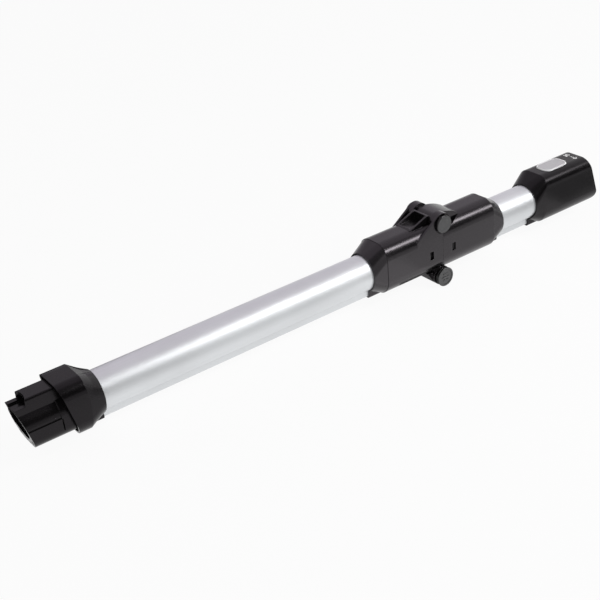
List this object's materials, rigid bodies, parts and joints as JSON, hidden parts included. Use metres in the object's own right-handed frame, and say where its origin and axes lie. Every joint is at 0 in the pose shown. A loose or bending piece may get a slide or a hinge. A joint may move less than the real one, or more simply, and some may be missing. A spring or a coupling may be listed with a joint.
{
  "type": "folding vacuum cleaner wand",
  "caption": "Folding vacuum cleaner wand: two aluminium tubes with a wire channel, a knee joint with pin and latch, a plug end and a socket end with a release button.",
  "frame": {"origin": "on the tube axis at the plug's end, where the airway's full circle begins", "axes": "+X along the tubes from the plug to the socket, +Z towards the release button's side, +Y across"},
  "size_m": [0.7145, 0.0504, 0.0833],
  "materials": {
    "black_plastic": "fine satin moulding",
    "grey_plastic": "satin moulding",
    "duct_plastic": "plain moulding",
    "pin_plastic": "satin",
    "button_plastic": "satin",
    "aluminium": "anodised, brushed along its length",
    "brass": "plain",
    "steel": "plain",
    "wire": "insulated",
    "hose_rubber": "soft moulding",
    "seal_rubber": "soft moulding"
  },
  "bodies": {
    "lower": {"plug_collar": "black_plastic", "plug_spigot": "black_plastic", "plug_contacts": "brass", "lower_tube": "aluminium", "lower_wires": "wire", "lower_ferrule": "black_plastic", "lower_duct": "duct_plastic", "lower_cuff": "duct_plastic", "lower_housing": "grey_plastic", "hinge_pin": "pin_plastic", "hinge_cap": "pin_plastic", "latch_spring": "steel", "latch_cap": "black_plastic", "hose": "hose_rubber"},
    "upper": {"upper_housing": "grey_plastic", "upper_cuff": "duct_plastic", "upper_duct": "duct_plastic", "upper_ferrule": "black_plastic", "upper_tube": "aluminium", "upper_wires": "wire", "socket_shell": "black_plastic", "socket_duct": "duct_plastic", "socket_seal": "seal_rubber", "socket_contact_block": "duct_plastic", "socket_contacts": "brass", "catch_pin": "steel", "release_spring": "steel"},
    "latch": {"latch_button": "black_plastic", "latch_collar": "steel"},
    "release": {"release_button": "button_plastic"},
    "catch": {"catch_lever": "duct_plastic"}
  },
  "joints": [
    {"name": "fold", "type": "hinge", "parent": "lower", "child": "upper", "pos_m": [0.4675, 0, 0.0304], "axis": [0, -1, 0], "range_deg": [0, 90], "deforming": ["hose"]},
    {"name": "latch_press", "type": "slide", "parent": "lower", "child": "latch", "axis": [0, 1, 0], "range_m": [0, 0.0024], "stiffness_N_per_m": 800, "springref_m": -0.003, "deforming": ["latch_spring"]},
    {"name": "release_press", "type": "slide", "parent": "upper", "child": "release", "axis": [0, 0, -1], "range_m": [0, 0.0018], "stiffness_N_per_m": 600, "springref_m": -0.002, "deforming": ["release_spring"]},
    {"name": "catch_swing", "type": "hinge", "parent": "upper", "child": "catch", "pos_m": [0.6405, 0, 0.0223], "axis": [0, 1, 0], "range_deg": [0, 5.8]}
  ],
  "couplings": [
    {"joint": "catch_swing", "follows": "release_press", "rad_per_m": 55.556}
  ]
}
